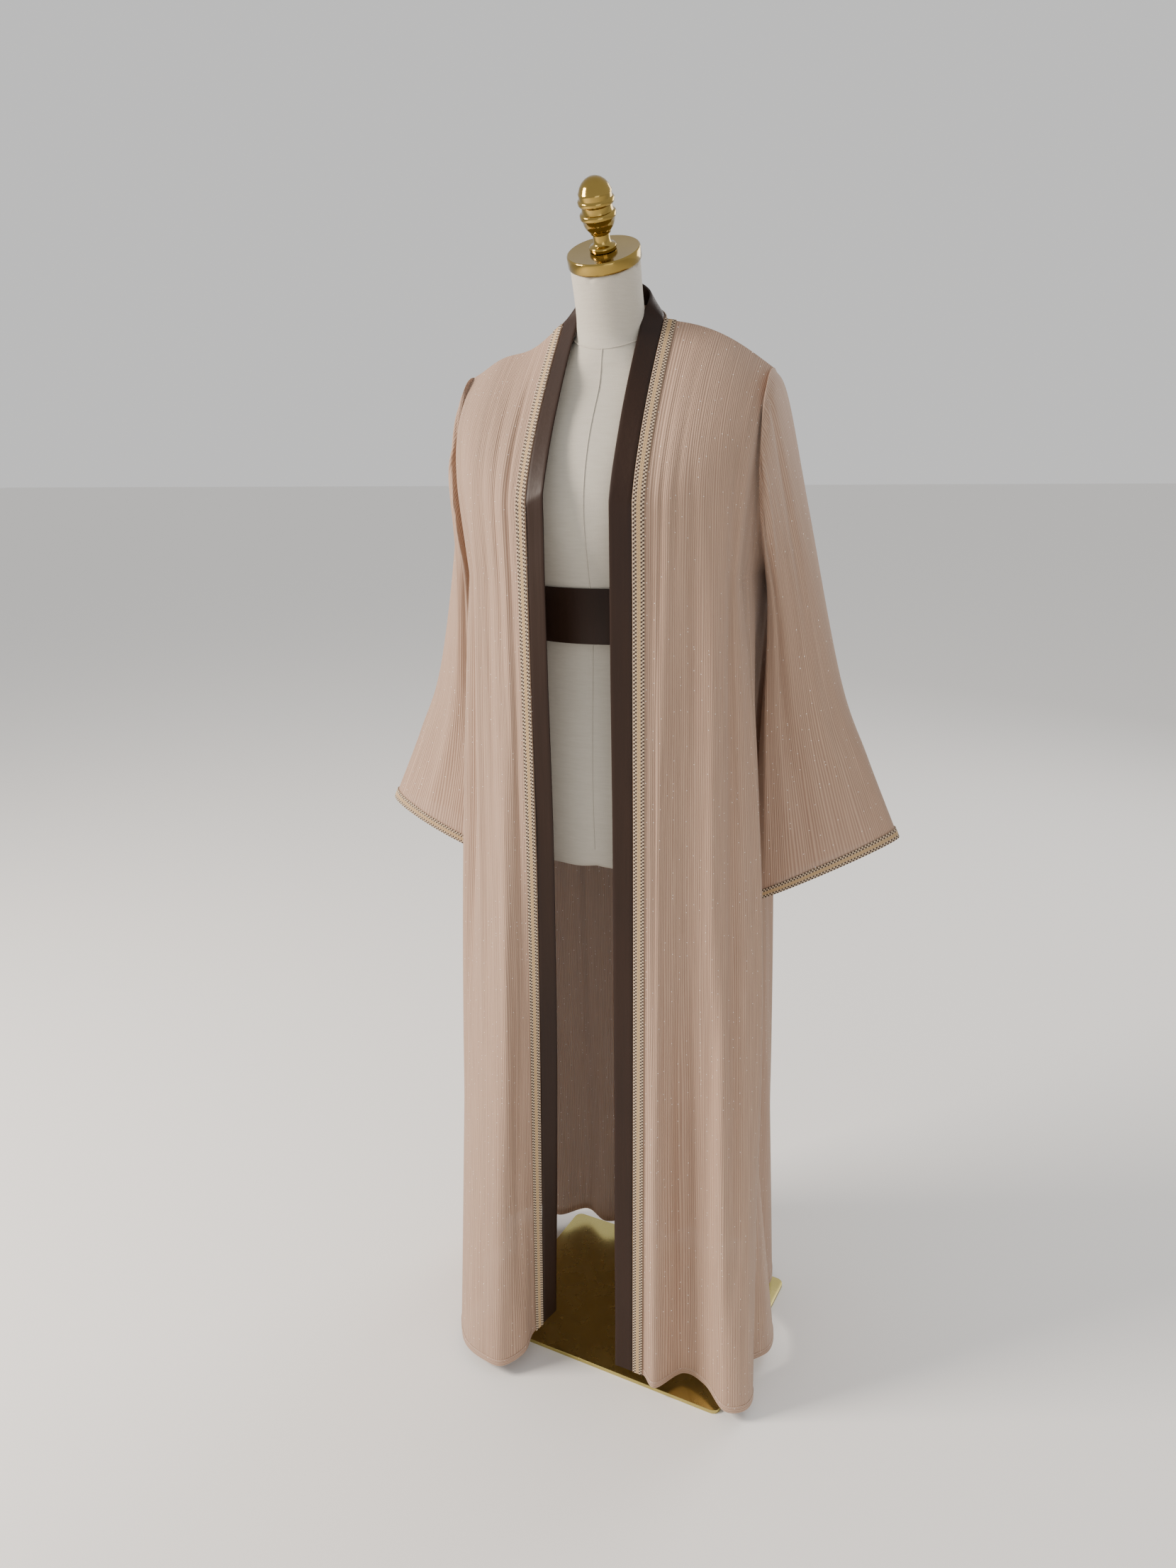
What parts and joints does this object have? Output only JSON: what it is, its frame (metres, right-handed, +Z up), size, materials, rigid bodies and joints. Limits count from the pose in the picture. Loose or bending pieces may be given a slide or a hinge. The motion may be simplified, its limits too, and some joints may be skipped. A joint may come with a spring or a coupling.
{
  "type": "abaya cloak on a dress form",
  "caption": "Floor-length open-front abaya cloak with wide bell sleeves, front band and belt, worn by a limbless dress form that stands on a flat base plate.",
  "frame": {"origin": "on the underside of the base plate, below the middle of the torso", "axes": "+Z up the dress form; the front opening faces -Y and the wearer's left is +X"},
  "size_m": [0.7708, 0.3944, 1.6474],
  "materials": {
    "chiffon": "sheer crinkled chiffon with glitter",
    "brown_satin": "satin",
    "cross_stitch_braid": "cross-stitched braid, cream and dark brown",
    "linen": "plain linen cover",
    "polished_gold": "polished"
  },
  "bodies": {
    "root": {"back_panel": "chiffon", "front_left": "chiffon", "front_right": "chiffon", "sleeve_left": "chiffon", "sleeve_right": "chiffon", "band_left": "brown_satin", "band_right": "brown_satin", "belt": "brown_satin", "trim_left": "cross_stitch_braid", "trim_right": "cross_stitch_braid", "cuff_trim_left": "cross_stitch_braid", "cuff_trim_right": "cross_stitch_braid", "form_torso": "linen", "form_cap": "polished_gold", "form_finial": "polished_gold", "form_pole": "polished_gold", "form_collar": "polished_gold", "form_plate": "polished_gold"}
  },
  "joints": []
}
